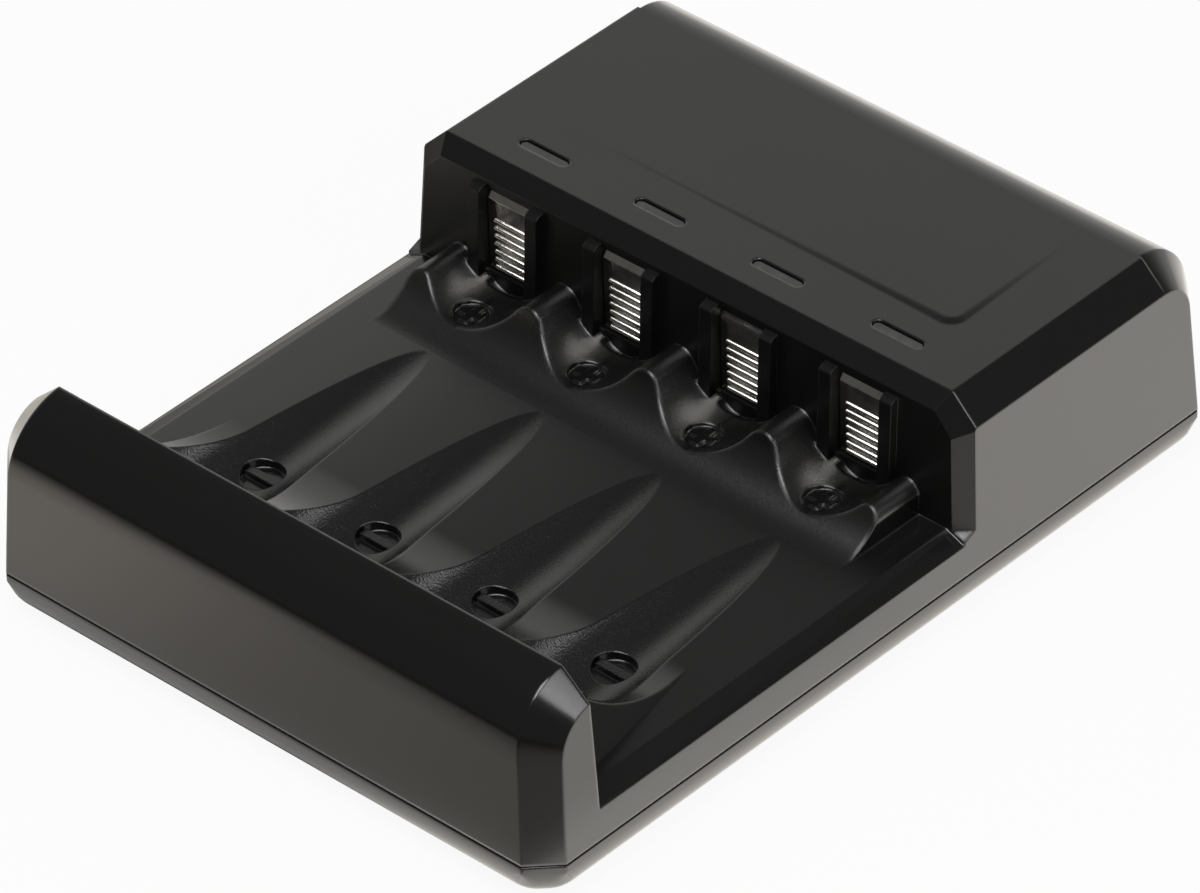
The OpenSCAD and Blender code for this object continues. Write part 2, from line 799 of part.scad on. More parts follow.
module power_inductor() {
    size = inductor_w;
    color("#3a3a3e") translate([pitch - size / 2 - 0.7, body_d - power_end - size / 2, board_top])
        difference() {
            linear_extrude(inductor_h) polygon([[1, 0], [size - 1, 0], [size, 1],
                [size, size - 1], [size - 1, size], [1, size], [0, size - 1], [0, 1]]);
            translate([size / 2, size / 2, inductor_h - 0.4]) difference() {
                cylinder(d = size - 1, h = 1);
                cylinder(d = size - 2.4, h = 2, center = true);
            }
        }
}

module input_capacitors() {
    step = 1.4 * can_d;
    color("#b8bcc0") for (x = [0, step]) translate([x - board_screw_side + can_d,
        body_d - power_end, board_top]) {
        translate([-can_d / 2, -can_d / 2, 0]) cube([can_d, can_d, can_h * 0.12]);
        cylinder(d = can_d, h = can_h);
    }
}

module charge_transistors() {
    pins = 4;
    step = transistor_w / pins;
    color("#222224") each_slot() translate([-transistor_w / 2, face_y + transistor_y, board_top]) {
        translate([0, 0, 0.1]) cube([transistor_w, transistor_l, 1.5]);
        for (i = [0:pins - 1]) translate([(i + 0.34) * step, -0.9, 0])
            cube([step * 0.32, transistor_l + 1.8, 0.25]);
    }
}

module led(x) {
    color("#dfe6d8") translate([x, face_y + light_y, board_top]) {
        translate([-1.5, -0.8, 0]) cube([3, 1.6, 0.5]);
        translate([-1, -0.7, 0.5]) cube([2, 1.4, 0.3]);
    }
}

// A light guide: a flat prism with a flange under the roof
module light_guide(x) {
    roof = top_h - wall;
    foot_z = board_top + 1;
    color("#b9bcb8") translate([x, 0, 0]) {
        light_slot(-clear, foot_z, top_h - light_sink);
        translate([-light_len / 2 - 0.5, face_y + light_y - light_w / 2 - 0.5, roof - 1])
            cube([light_len + 1, light_w + 1, 1]);
    }
}

// A stamped positive contact: ribs with round ends, a plain flat and a flange
module positive_contact(x) {
    bar = plate_w / 2 - 0.7 - rib_r;
    color("#d2d3d2") translate([x, 0, 0]) {
        across(plate_w) polygon([[plate_y, board_top - board_t],
            [plate_y + sheet_t, board_top - board_t], [plate_y + sheet_t, plate_top - 0.2],
            [plate_y + sheet_t + flange_h * flange_lean, plate_top + flange_h - sheet_t],
            [plate_y + flange_h * flange_lean, plate_top + flange_h], [plate_y, plate_top]]);
        for (i = [0:rib_count - 1]) translate([0, plate_y + 0.05, low_rib + i * rib_pitch]) {
            rotate([0, 90, 0]) cylinder(r = rib_r, h = 2 * bar, center = true, $fn = 24);
            for (side = [-1, 1]) translate([side * bar, 0, 0]) rotate([-90, 0, 0])
                rotate_extrude($fn = 24) intersection() {
                    circle(rib_r, $fn = 24);
                    translate([0, -rib_r]) square(2 * rib_r);
                }
        }
    }
}

// Points along a bent strip, from its centre line and its thickness
function arc(cy, cz, r, from, to, steps) = [for (i = [0:steps])
    let(a = from + (to - from) * i / steps) [cy + r * cos(a), cz + r * sin(a)]];
function side(path, t) = [for (i = [0:len(path) - 1])
    let(a = path[max(i - 1, 0)], b = path[min(i + 1, len(path) - 1)], d = (b - a) / norm(b - a))
    path[i] + [-d.y, d.x] * t];

// A negative spring: a leaf rolled at its root and curled over at its pad
module negative_spring(x) {
    bend = 2;
    curl = 1;
    path = concat([[0, 0]], arc(2.21, spring_rise - curl - bend - 0.06, bend, 170, 95, 6),
        arc(spring_reach - curl, spring_rise, curl, -85, 150, 12));
    color("#d2d3d2") translate([x, 0, 0]) across(spring_w) translate(spring_root) {
        circle(root_r, $fn = 48);
        polygon(concat(side(path, sheet_t / 2), [for (i = [len(path) - 1:-1:0])
            side(path, -sheet_t / 2)[i]]));
    }
}

placed() upper_housing();
placed() lower_housing();
placed() main_board();
placed() inlet_shell();
placed() inlet_tongue();
placed() charge_controller();
placed() power_inductor();
placed() input_capacitors();
placed() charge_transistors();
placed() case_screws();
placed() board_screws();
placed() foot(-1, -1);  // foot_1
placed() foot(1, -1);  // foot_2
placed() foot(-1, 1);  // foot_3
placed() foot(1, 1);  // foot_4
placed() led(slot_x[0]);  // led_1
placed() led(slot_x[1]);  // led_2
placed() led(slot_x[2]);  // led_3
placed() led(slot_x[3]);  // led_4
placed() light_guide(slot_x[0]);  // light_guide_1
placed() light_guide(slot_x[1]);  // light_guide_2
placed() light_guide(slot_x[2]);  // light_guide_3
placed() light_guide(slot_x[3]);  // light_guide_4
placed() positive_contact(slot_x[0]);  // positive_contact_1
placed() positive_contact(slot_x[1]);  // positive_contact_2
placed() positive_contact(slot_x[2]);  // positive_contact_3
placed() positive_contact(slot_x[3]);  // positive_contact_4
placed() negative_spring(slot_x[0]);  // negative_spring_1
placed() negative_spring(slot_x[1]);  // negative_spring_2
placed() negative_spring(slot_x[2]);  // negative_spring_3
placed() negative_spring(slot_x[3]);  // negative_spring_4
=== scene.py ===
"""A four-slot desk charger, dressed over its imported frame.

The frame gives every piece its place. Each class below dresses one
sub-assembly: it copies the frame's solids, eases their edges, and gives them
finishes made from shader nodes. Lengths are in metres, except where a
docstring says millimetres.
"""

from __future__ import annotations

import logging
import math
from collections.abc import Mapping, Sequence
from dataclasses import dataclass
from enum import Enum
from typing import Any, Protocol

import bmesh
import bpy
from mathutils import Matrix, Vector

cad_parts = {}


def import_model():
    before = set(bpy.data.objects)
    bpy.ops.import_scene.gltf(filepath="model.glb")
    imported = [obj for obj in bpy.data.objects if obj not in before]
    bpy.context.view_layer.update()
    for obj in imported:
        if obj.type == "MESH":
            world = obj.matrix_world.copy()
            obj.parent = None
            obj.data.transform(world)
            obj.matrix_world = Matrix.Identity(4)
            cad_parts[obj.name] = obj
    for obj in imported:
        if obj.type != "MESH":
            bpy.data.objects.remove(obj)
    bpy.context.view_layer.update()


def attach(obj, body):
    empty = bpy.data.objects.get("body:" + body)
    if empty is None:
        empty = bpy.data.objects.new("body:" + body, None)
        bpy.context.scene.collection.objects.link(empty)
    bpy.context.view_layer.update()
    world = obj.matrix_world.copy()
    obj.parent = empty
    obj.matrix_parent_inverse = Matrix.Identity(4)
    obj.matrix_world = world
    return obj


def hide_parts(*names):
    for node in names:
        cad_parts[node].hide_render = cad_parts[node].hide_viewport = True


LOG = logging.getLogger("charger")
MM = 0.001
SLOTS = 4

# How far apart doubled points may lie, how small a speck is, and how flat a join
WELD = 0.002 * MM
SPECK = 0.001 * MM
FLAT_JOIN = math.radians(0.4)
# Samples of a material's eased edges, and the middle of a noise's values
EDGE_SAMPLES = 8
MIDDLE = 0.5
# The least distance from an axis that still gives a direction
TINY = 1e-6


# Shader maths


@dataclass(frozen=True)
class Signal:
    """A shader socket that can be used in arithmetic, as in 1 - mask * 0.5."""

    shader: Shader
    socket: bpy.types.NodeSocket

    def math(self, operation: str, *others: Value) -> Signal:
        """Adds a Math node that starts from this signal.

        Args:
            operation: The Math node's operation.
            others: The signals or numbers after this one.

        Returns:
            The Math node's result.
        """
        return self.shader.node(
            "ShaderNodeMath", {"operation": operation}, dict(enumerate((self, *others)))
        )

    def __add__(self, other: Value) -> Signal:
        """The sum with another signal or number."""
        return self.math("ADD", other)

    __radd__ = __add__

    def __mul__(self, other: Value) -> Signal:
        """The product with another signal or number."""
        return self.math("MULTIPLY", other)

    __rmul__ = __mul__

    def __sub__(self, other: Value) -> Signal:
        """The difference from another signal or number."""
        return self.math("SUBTRACT", other)

    def __rsub__(self, other: float) -> Signal:
        """A number less this signal."""
        return (self * -1.0) + other

    def greatest(self, other: Signal) -> Signal:
        """The greater of two signals."""
        return self.math("MAXIMUM", other)

    def ramp(self, low: float, high: float) -> Signal:
        """A smooth step of this signal.

        Args:
            low: The value that gives 0.
            high: The value that gives 1.

        Returns:
            A signal from 0 to 1.
        """
        return self.shader.node(
            "ShaderNodeMapRange",
            {"interpolation_type": "SMOOTHSTEP"},
            {"Value": self, "From Min": low, "From Max": high},
        )

    def steps(self, steps: Sequence[Step]) -> Signal:
        """A sum of smooth steps of this signal.

        Args:
            steps: For each step the values that give 0 and 1, and its share.

        Returns:
            The sum of the shares.
        """
        parts = [self.ramp(low, high) * share for low, high, share in steps]
        return sum(parts[1:], parts[0])


Value = Signal | float
Rgb = tuple[float, float, float]
Point = tuple[float, float, float]
Span = tuple[float, float]
Step = tuple[float, float, float]


class Shader:
    """A node tree under construction, of a material or of the world."""

    def __init__(self, owner: bpy.types.Material | bpy.types.World) -> None:
        """Empties the owner's tree.

        Args:
            owner: The material or world.
        """
        self.owner = owner
        owner.use_nodes = True
        self.tree = owner.node_tree
        self.tree.nodes.clear()

    @classmethod
    def of_material(cls, name: str) -> Shader:
        """Starts a material of this name."""
        return cls(bpy.data.materials.new(name))

    def node(
        self,
        kind: str,
        settings: Mapping[str, Any] | None = None,
        inputs: Mapping[str | int, Any] | None = None,
        output: str | int = 0,
    ) -> Signal:
        """Adds a node, sets it and wires it.

        Args:
            kind: The node's type name.
            settings: Its properties.
            inputs: Values or signals for its sockets.
            output: The output to return.

        Returns:
            The chosen output, or the first input of a node that has no output.
        """
        made = self.tree.nodes.new(kind)
        for key, value in (settings or {}).items():
            setattr(made, key, value)
        for key, value in (inputs or {}).items():
            if isinstance(value, Signal):
                self.tree.links.new(value.socket, made.inputs[key])
            else:
                made.inputs[key].default_value = value
        return Signal(self, made.outputs[output] if made.outputs else made.inputs[0])

    def part(self, vector: Signal, axis: str) -> Signal:
        """One axis of a vector, X, Y or Z."""
        return self.node("ShaderNodeSeparateXYZ", {}, {0: vector}, output=axis)

    def point(self, axis: str) -> Signal:
        """One of the Object coordinates, X, Y or Z, in metres."""
        return self.part(self.node("ShaderNodeTexCoord", output="Object"), axis)

    def place(self, scale: Sequence[float] = (1.0, 1.0, 1.0)) -> Signal:
        """Object coordinates, in millimetres times a scale.

        Args:
            scale: The factor on each axis.

        Returns:
            The scaled coordinates.
        """
        point = self.node("ShaderNodeTexCoord", output="Object")
        return self.node(
            "ShaderNodeMapping", {}, {"Vector": point, "Scale": [s / MM for s in scale]}
        )

    def noise(
        self, scale: float, detail: float = 2.0, stretch: Sequence[float] = (1.0, 1.0, 1.0)
    ) -> Signal:
        """Soft noise on Object coordinates.

        Args:
            scale: Waves in a millimetre.
            detail: Octaves of finer noise.
            stretch: The factor on each axis.

        Returns:
            A value round MIDDLE.
        """
        return self.node(
            "ShaderNodeTexNoise",
            {"noise_dimensions": "3D"},
            {"Vector": self.place(stretch), "Scale": scale, "Detail": detail},
        )

    def bump(self, height: Signal, depth: float, under: Signal | None = None) -> Signal:
        """A bump from a height.

        Args:
            height: The height, where 1 is the full depth.
            depth: The full depth in metres.
            under: A normal to start from.

        Returns:
            The bent normal.
        """
        inputs: dict[str | int, Any] = {"Height": height, "Strength": 1.0, "Distance": depth}
        if under is not None:
            inputs["Normal"] = under
        return self.node("ShaderNodeBump", {}, inputs)

    def rounded(self, radius: float) -> Signal:
        """The normal with edges eased to a radius in metres."""
        return self.node("ShaderNodeBevel", {"samples": EDGE_SAMPLES}, {"Radius": radius})

    def colours(self, mask: Signal, low: Rgb, high: Rgb) -> Signal:
        """A colour between two colours.

        Args:
            mask: 0 for the first colour, 1 for the second.
            low: The first colour.
            high: The second colour.

        Returns:
            The mixed colour.
        """
        return self.node(
            "ShaderNodeMix",
            {"data_type": "RGBA"},
            {0: mask, 6: (*low, 1.0), 7: (*high, 1.0)},
            output=2,
        )

    def vectors(self, mask: Signal, low: Signal, high: Signal) -> Signal:
        """A vector between two vectors.

        Args:
            mask: 0 for the first vector, 1 for the second.
            low: The first vector.
            high: The second vector.

        Returns:
            The mixed vector.
        """
        return self.node(
            "ShaderNodeMix", {"data_type": "VECTOR"}, {0: mask, 4: low, 5: high}, output=1
        )

    def surfaces(self, mask: Signal, low: Signal, high: Signal) -> Signal:
        """A surface between two surfaces.

        Args:
            mask: 0 for the first surface, 1 for the second.
            low: The first surface.
            high: The second surface.

        Returns:
            The mixed surface.
        """
        return self.node("ShaderNodeMixShader", {}, {0: mask, 1: low, 2: high})

    def finish(self, sockets: Mapping[str | int, Any]) -> bpy.types.Material:
        """Closes the material with a Principled shader.

        Args:
            sockets: The shader's values or signals.

        Returns:
            The material.
        """
        surface = self.node("ShaderNodeBsdfPrincipled", {}, sockets)
        self.node("ShaderNodeOutputMaterial", {}, {"Surface": surface})
        return self.owner


# Finishes


class Finish(Protocol):
    """Anything that builds a material."""

    @property
    def name(self) -> str:
        """The material's name."""

    def build(self) -> bpy.types.Material:
        """Makes the material."""


@dataclass(frozen=True)
class Bow:
    """The deck's slight bow, which shrinkage leaves, as a height in metres.

    Attributes:
        to_rear: Its rise for each metre towards the rear.
        to_right: Its fall for each metre to the right of the middle.
        crown: Its fall for each square metre away from the middle.
        flatter: How much flatter it gets to the right, for each cubic metre.
        under_top: The heights between which it fades out below the top.
        depth: The bump's full depth, where the height is in metres already.
    """

    to_rear: float = 0.034
    to_right: float = 0.023
    crown: float = 0.72
    flatter: float = 9.0
    under_top: Span = (0.021, 0.018)
    depth: float = 1.0

    def over(self, shader: Shader, under: Signal) -> Signal:
        """Bends a normal by the bow.

        Args:
            shader: The shader under construction.
            under: The normal to start from.

        Returns:
            The bent normal.
        """
        across, along, up = (shader.point(axis) for axis in "XYZ")
        hump = across * (across * (across * self.flatter - self.crown) - self.to_right)
        height = (along * self.to_rear + hump) * up.ramp(*self.under_top)
        return shader.bump(height, self.depth, under)


@dataclass(frozen=True)
class MouldedPlastic:
    """Black moulded plastic, from polished to spark-eroded.

    Attributes:
        name: The material's name.
        colour: The plastic's colour.
        roughness: How dull the skin is.
        uneven: The share of its roughness that varies from place to place.
        cloud_scale: Waves of that variation in a millimetre.
        grain: Depth of the tool's texture.
        grain_scale: Grains in a millimetre.
        grain_dulls: How much duller a grain's top is than its foot.
        wave: Depth of the slow waves that shrinkage leaves.
        wave_scale: Those waves in a millimetre.
        edge: Radius of the eased edges.
        shine: Its index of refraction.
        bow: The deck's bow, where it has one.
    """

    name: str
    colour: Rgb = (0.0055, 0.0055, 0.0053)
    roughness: float = 0.2
    uneven: float = 0.25
    cloud_scale: float = 0.05
    grain: float = 0.0
    grain_scale: float = 4.0
    grain_dulls: float = 0.12
    wave: float = 0.0
    wave_scale: float = 0.12
    edge: float = 0.25 * MM
    shine: float = 1.8
    bow: Bow | None = None

    def build(self) -> bpy.types.Material:
        """Makes the plastic."""
        shader = Shader.of_material(self.name)
        cloud = shader.noise(self.cloud_scale, detail=3.0)
        rough = (cloud - MIDDLE) * (self.uneven * self.roughness) + self.roughness
        wave = shader.noise(self.wave_scale, detail=1.0)
        normal = shader.bump(wave, self.wave, shader.rounded(self.edge))
        if self.bow:
            normal = self.bow.over(shader, normal)
        if self.grain:
            fine = shader.noise(self.grain_scale)
            normal = shader.bump(fine, self.grain, normal)
            rough = rough + (fine - MIDDLE) * self.grain_dulls
        return shader.finish(
            {
                "Base Color": (*self.colour, 1.0),
                "Roughness": rough,
                "Normal": normal,
                "IOR": self.shine,
            }
        )


@dataclass(frozen=True)
class NickelPlate:
    """Bright nickel on stamped strip, with the stamping's fine lines.

    Attributes:
        name: The material's name.
        colour: The metal's colour.
        stain: Its colour where it is stained.
        stain_scale: Stains in a millimetre.
        stained: The values of the noise between which the stain comes in.
        roughness: How dull the plating is.
        uneven: How much the lines change its roughness.
        lines: The lines' factor on each axis, long along Z.
        line_depth: Depth of the lines.
        edge: Radius of the eased edges.
        lean: How far the tops of the stamped ribs lean to the right, as a slope.
        tops: The upward parts of a normal between which a rib's top starts.
    """

    name: str = "nickel_plate"
    colour: Rgb = (0.78, 0.76, 0.71)
    stain: Rgb = (0.62, 0.59, 0.53)
    stain_scale: float = 0.5
    stained: Span = (0.45, 0.75)
    roughness: float = 0.17
    uneven: float = 0.25
    lines: Point = (5.0, 5.0, 0.35)
    line_depth: float = 0.003 * MM
    edge: float = 0.12 * MM
    lean: float = 0.0
    tops: Span = (0.2, 0.35)

    def build(self) -> bpy.types.Material:
        """Makes the plating."""
        shader = Shader.of_material(self.name)
        lines = shader.noise(1.0, stretch=self.lines)
        stain = shader.noise(self.stain_scale, detail=3.0).ramp(*self.stained)
        normal = shader.rounded(self.edge)
        if self.lean:
            normal = self._leaning(shader, normal)
        return shader.finish(
            {
                "Base Color": shader.colours(stain, self.colour, self.stain),
                "Metallic": 1.0,
                "Roughness": (lines - MIDDLE) * self.uneven + self.roughness,
                "Normal": shader.bump(lines, self.line_depth, normal),
            }
        )

    def _leaning(self, shader: Shader, under: Signal) -> Signal:
        """Leans the tops of the stamped ribs to the right.

        Args:
            shader: The shader under construction.
            under: The normal to start from.

        Returns:
            The bent normal.
        """
        leaning = shader.bump(shader.point("X") * -1.0, self.lean, under)
        facing = shader.node("ShaderNodeNewGeometry", output="True Normal")
        return shader.vectors(shader.part(facing, "Z").ramp(*self.tops), under, leaning)


@dataclass(frozen=True)
class PlainFinish:
    """A simple material with a little mottle in its colour and roughness.

    Attributes:
        name: The material's name.
        colour: The main colour.
        shade: The colour of the mottle.
        roughness: How dull it is.
        metallic: 1 for a metal.
        uneven: How much the mottle changes its roughness.
        mottle_scale: Patches of mottle in a millimetre.
        mottled: The values of the noise between which the mottle comes in.
        grain: Depth of the surface's grain.
        grain_scale: Grains in a millimetre.
    """

    name: str
    colour: Rgb
    shade: Rgb
    roughness: float = 0.5
    metallic: float = 0.0
    uneven: float = 0.2
    mottle_scale: float = 0.4
    mottled: Span = (0.35, 0.7)
    grain: float = 0.004 * MM
    grain_scale: float = 3.0

    def build(self) -> bpy.types.Material:
        """Makes the material."""
        shader = Shader.of_material(self.name)
        cloud = shader.noise(self.mottle_scale, detail=3.0)
        mottle = cloud.ramp(*self.mottled)
        return shader.finish(
            {
                "Base Color": shader.colours(mottle, self.colour, self.shade),
                "Metallic": self.metallic,
                "Roughness": (cloud - MIDDLE) * self.uneven + self.roughness,
                "Normal": shader.bump(shader.noise(self.grain_scale), self.grain),
            }
        )


class Paint(Enum):
    """The finishes of the charger's own pieces."""

    GLOSS = MouldedPlastic("plastic_gloss", roughness=0.14, wave=0.002 * MM)
    WALL = MouldedPlastic(
        "plastic_wall", roughness=0.16, grain=0.0006 * MM, wave=0.002 * MM, edge=0.4 * MM
    )
    SATIN = MouldedPlastic(
        "plastic_satin",
        roughness=0.22,
        grain=0.0015 * MM,
        wave=0.002 * MM,
        edge=0.4 * MM,
        bow=Bow(),
    )
    GRAIN = MouldedPlastic(
        "plastic_grain",
        roughness=0.25,
        grain=0.035 * MM,
        grain_scale=4.5,
        wave=0.002 * MM,
        bow=Bow(),
    )
    MATT = MouldedPlastic(
        "plastic_matt", roughness=0.3, grain=0.015 * MM, edge=0.7 * MM, bow=Bow()
    )
    NICHE = MouldedPlastic(
        "plastic_niche", roughness=0.34, grain=0.001 * MM, edge=0.15 * MM, shine=1.45
    )
    NICKEL = NickelPlate()
    CONTACT = NickelPlate("contact_nickel", lean=0.22)
    GUIDE = PlainFinish("guide_frosted", (0.05, 0.052, 0.05), (0.075, 0.077, 0.074), 0.25)
    RUBBER = PlainFinish("foot_rubber", (0.022, 0.022, 0.023), (0.035, 0.035, 0.036), 0.75)
    MASK = PlainFinish("board_mask", (0.010, 0.11, 0.045), (0.014, 0.14, 0.06), 0.38)
    EPOXY = PlainFinish("chip_epoxy", (0.02, 0.02, 0.021), (0.03, 0.03, 0.031), 0.55)
    CAN = PlainFinish("can_aluminium", (0.78, 0.79, 0.8), (0.7, 0.71, 0.72), 0.3, 1.0)
    ZINC = PlainFinish("screw_zinc", (0.55, 0.56, 0.57), (0.45, 0.46, 0.47), 0.35, 1.0)
    LENS = PlainFinish("led_lens", (0.75, 0.78, 0.7), (0.8, 0.82, 0.76), 0.25)

    def material(self) -> bpy.types.Material:
        """The finish's material, made once."""
        finish: Finish = self.value
        return bpy.data.materials.get(finish.name) or finish.build()


# Meshes


def copy_of(node: str) -> bmesh.types.BMesh:
    """A merged copy of a frame solid, its flat faces joined up.

    Args:
        node: The frame solid's name.

    Returns:
        The copy as a bmesh.
    """
    form = bmesh.new()
    form.from_mesh(bpy.data.objects[node].data)
    bmesh.ops.remove_doubles(form, verts=form.verts, dist=WELD)
    bmesh.ops.dissolve_degenerate(form, dist=SPECK, edges=form.edges)
    bmesh.ops.dissolve_limit(form, angle_limit=FLAT_JOIN, verts=form.verts, edges=form.edges)
    for face in form.faces:
        face.material_index = 0
    return form


@dataclass
class Piece:
    """One dressed piece and what it stands for.

    Attributes:
        name: The piece's name.
        form: Its mesh under construction.
        paints: Its finishes, in the order of the material indices.
        slot: The record's slot for its finish; not used.
        node: The frame solid it stands for.
        body: The frame body it rides on.
        bevel: Width of its eased edges.
        crease: The angle over which an edge is eased or sharp, in degrees.
        segments: Faces across an eased edge.
        even: Whether flat faces keep flat normals by weight.
        weight: How far the larger faces' normals outweigh the others, where 50 is by area.
    """

    name: str
    form: bmesh.types.BMesh
    paints: Sequence[Paint]
    slot: str
    node: str
    body: str = "case"
    bevel: float = 0.0
    crease: float = 28.0
    segments: int = 2
    even: bool = True
    weight: int = 60

    def place(self) -> bpy.types.Object:
        """Turns the mesh into an object that rides on its body.

        Returns:
            The object.
        """
        mesh = bpy.data.meshes.new(self.name)
        self.form.to_mesh(mesh)
        self.form.free()
        for paint in self.paints:
            mesh.materials.append(paint.material())
        mesh.polygons.foreach_set("use_smooth", [True] * len(mesh.polygons))
        if self.even and not self.bevel:
            mesh.set_sharp_from_angle(angle=math.radians(self.crease))
        thing = bpy.data.objects.new(self.name, mesh)
        bpy.context.scene.collection.objects.link(thing)
        if self.bevel:
            self._ease(thing)
        if self.even:
            even = thing.modifiers.new("even_normals", "WEIGHTED_NORMAL")
            even.keep_sharp = True
            even.weight = self.weight
        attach(thing, self.body)
        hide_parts(self.node)
        LOG.info("%s: %d faces", self.name, len(mesh.polygons))
        return thing

    def _ease(self, thing: bpy.types.Object) -> None:
        """Eases the object's edges.

        Args:
            thing: The object.
        """
        ease = thing.modifiers.new("eased_edges", "BEVEL")
        ease.width = self.bevel
        ease.segments = self.segments
        ease.limit_method = "ANGLE"
        ease.angle_limit = math.radians(self.crease)
        ease.use_clamp_overlap = False
        ease.loop_slide = False


# Sub-assemblies


@dataclass(frozen=True)
class Round:
    """A round surface of the housing: a cylinder, or a cone where it widens.

    Attributes:
        point: A point on its axis.
        axis: The axis.
        radius: Its radius at the point.
        widening: How much the radius grows along the axis.
    """

    point: Vector
    axis: Vector
    radius: float
    widening: float = 0.0

    def meet(self, place: Vector) -> tuple[float, Vector]:
        """How a place lies to the surface.

        Args:
            place: The place.

        Returns:
            Its distance from the surface, and the surface's normal there.
        """
        arm = place - self.point
        along = arm.dot(self.axis)
        out = arm - self.axis * along
        reach = out.length
        if reach < TINY:
            return self.radius, self.axis
        off = abs(reach - self.radius - self.widening * along) / math.hypot(1.0, self.widening)
        return off, (out / reach - self.axis * self.widening).normalized()


@dataclass(frozen=True)
class TopPanel:
    """The raised panel on the top, which sinks away to the left and the rear.

    Its lengths are the source's own, in millimetres.

    Attributes:
        half_w: Half its width.
        front: Its front edge.
        bend: Its corners' radius.
        slope: Width of its sloped edge.
        rise: Its height.
        fade: The share of its rise that it loses towards its left end.
        rear: Where it has sunk into the top.
        top_h: Height of the top round it.
        below: How far under the top its sloped edge is looked for.
        edge: How far past its slope a point still counts as on it.
    """

    half_w: float = 28.0
    front: float = 72.5
    bend: float = 2.4
    slope: float = 1.2
    rise: float = 0.3
    fade: float = 0.9
    rear: float = 95.0
    top_h: float = 19.7
    below: float = 0.4
    edge: float = 0.05

    def _inside(self, point: Vector) -> tuple[float, Vector]:
        """How a point lies to the panel's outline.

        Args:
            point: The point.

        Returns:
            How far inside the outline it is, and the way out.
        """
        far_x = abs(point.x) - self.half_w + self.bend
        far_y = self.front + self.bend - point.y
        if far_x > 0.0 and far_y > 0.0:
            way = Vector((math.copysign(far_x, point.x), -far_y, 0.0))
            return self.bend - way.length, way.normalized()
        if far_x > far_y:
            return self.bend - far_x, Vector((math.copysign(1.0, point.x), 0.0, 0.0))
        return self.bend - far_y, Vector((0.0, -1.0, 0.0))

    def holds(self, point: Vector) -> bool:
        """Whether a point is on the panel's sloped edge."""
        inside = self._inside(point)[0]
        return point.z > self.top_h - self.below and -self.edge < inside < self.slope + self.edge

    def normal(self, point: Vector) -> Vector:
        """The soft normal on the panel's sloped edge.

        Args:
            point: A point on the edge.

        Returns:
            The normal, which lies level at both sides of the slope.
        """
        inside, way = self._inside(point)
        part = min(max(inside / self.slope, 0.0), 1.0)
        across = 1.0 - self.fade * (self.half_w - point.x) / (2.0 * self.half_w)
        along = (self.rear - point.y) / (self.rear - self.front)
        left_over = min(max(along, 0.0), 1.0) * min(across, 1.0)
        steep = 2.0 * part * (1.0 - part) * self.rise / self.slope * left_over
        return Vector((way.x * steep, way.y * steep, 1.0)).normalized()


